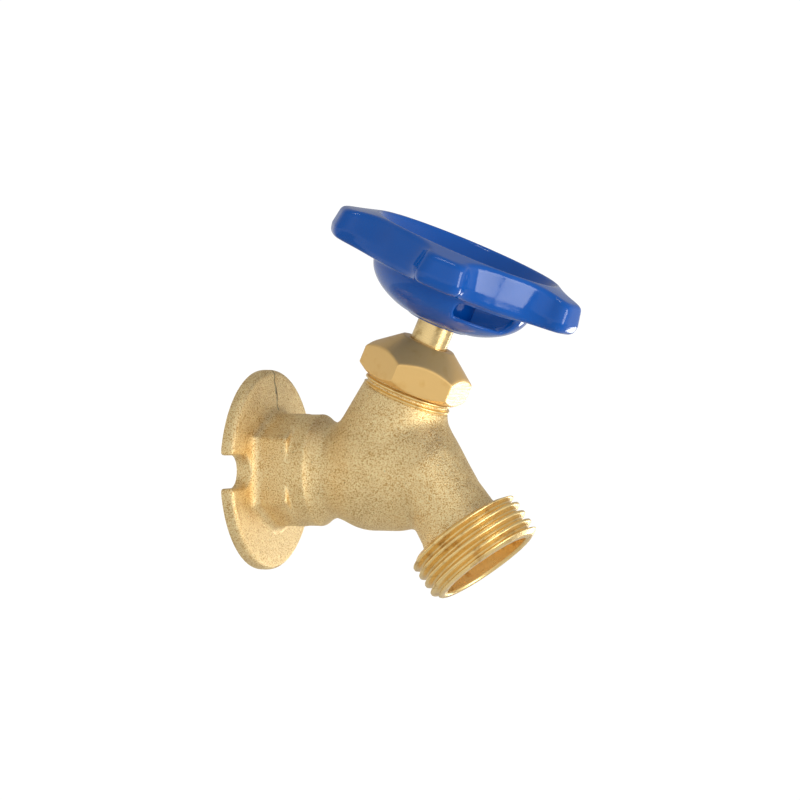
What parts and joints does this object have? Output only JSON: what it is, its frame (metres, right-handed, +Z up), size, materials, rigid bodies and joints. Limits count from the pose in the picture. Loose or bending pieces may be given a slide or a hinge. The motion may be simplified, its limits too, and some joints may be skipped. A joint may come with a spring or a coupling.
{
  "type": "hose bib",
  "caption": "Flanged brass hose bib with a female pipe inlet, a rising stem under a packing nut, a lobed handwheel and a male hose thread.",
  "frame": {"origin": "centre of the wall flange's back face, where the pipe axis meets the wall", "axes": "+X out of the wall along the pipe axis, +Z up, the stem and the spout both lie in the XZ plane"},
  "size_m": [0.0747, 0.0588, 0.0856],
  "materials": {
    "cast_brass": "sand-blasted casting",
    "turned_brass": "turned",
    "nut_brass": "forged and machined, satin",
    "wheel_coating": "thick glossy dip coating over cast metal",
    "washer_rubber": "moulded",
    "packing_graphite": "pressed graphite yarn",
    "plated_steel": "zinc plated"
  },
  "bodies": {
    "body": {"valve_body": "cast_brass", "packing_nut": "nut_brass", "thrust_washer": "turned_brass", "lower_packing_ring": "packing_graphite", "upper_packing_ring": "packing_graphite", "packing_follower": "turned_brass"},
    "washer": {"seat_washer": "washer_rubber"},
    "spindle": {"stem": "turned_brass", "washer_screw": "turned_brass", "handwheel": "wheel_coating", "handwheel_screw": "plated_steel"}
  },
  "joints": [
    {"name": "stem_lift", "type": "slide", "parent": "body", "child": "washer", "axis": [0.4099, 0, 0.9121], "range_m": [0, 0.00636]},
    {"name": "handwheel_turn", "type": "hinge", "parent": "washer", "child": "spindle", "pos_m": [0.0273, 0, 0], "axis": [0.4099, 0, 0.9121], "range_deg": [0, 900]}
  ],
  "couplings": [
    {"joint": "stem_lift", "follows": "handwheel_turn", "m_per_rad": 0.00040425}
  ]
}
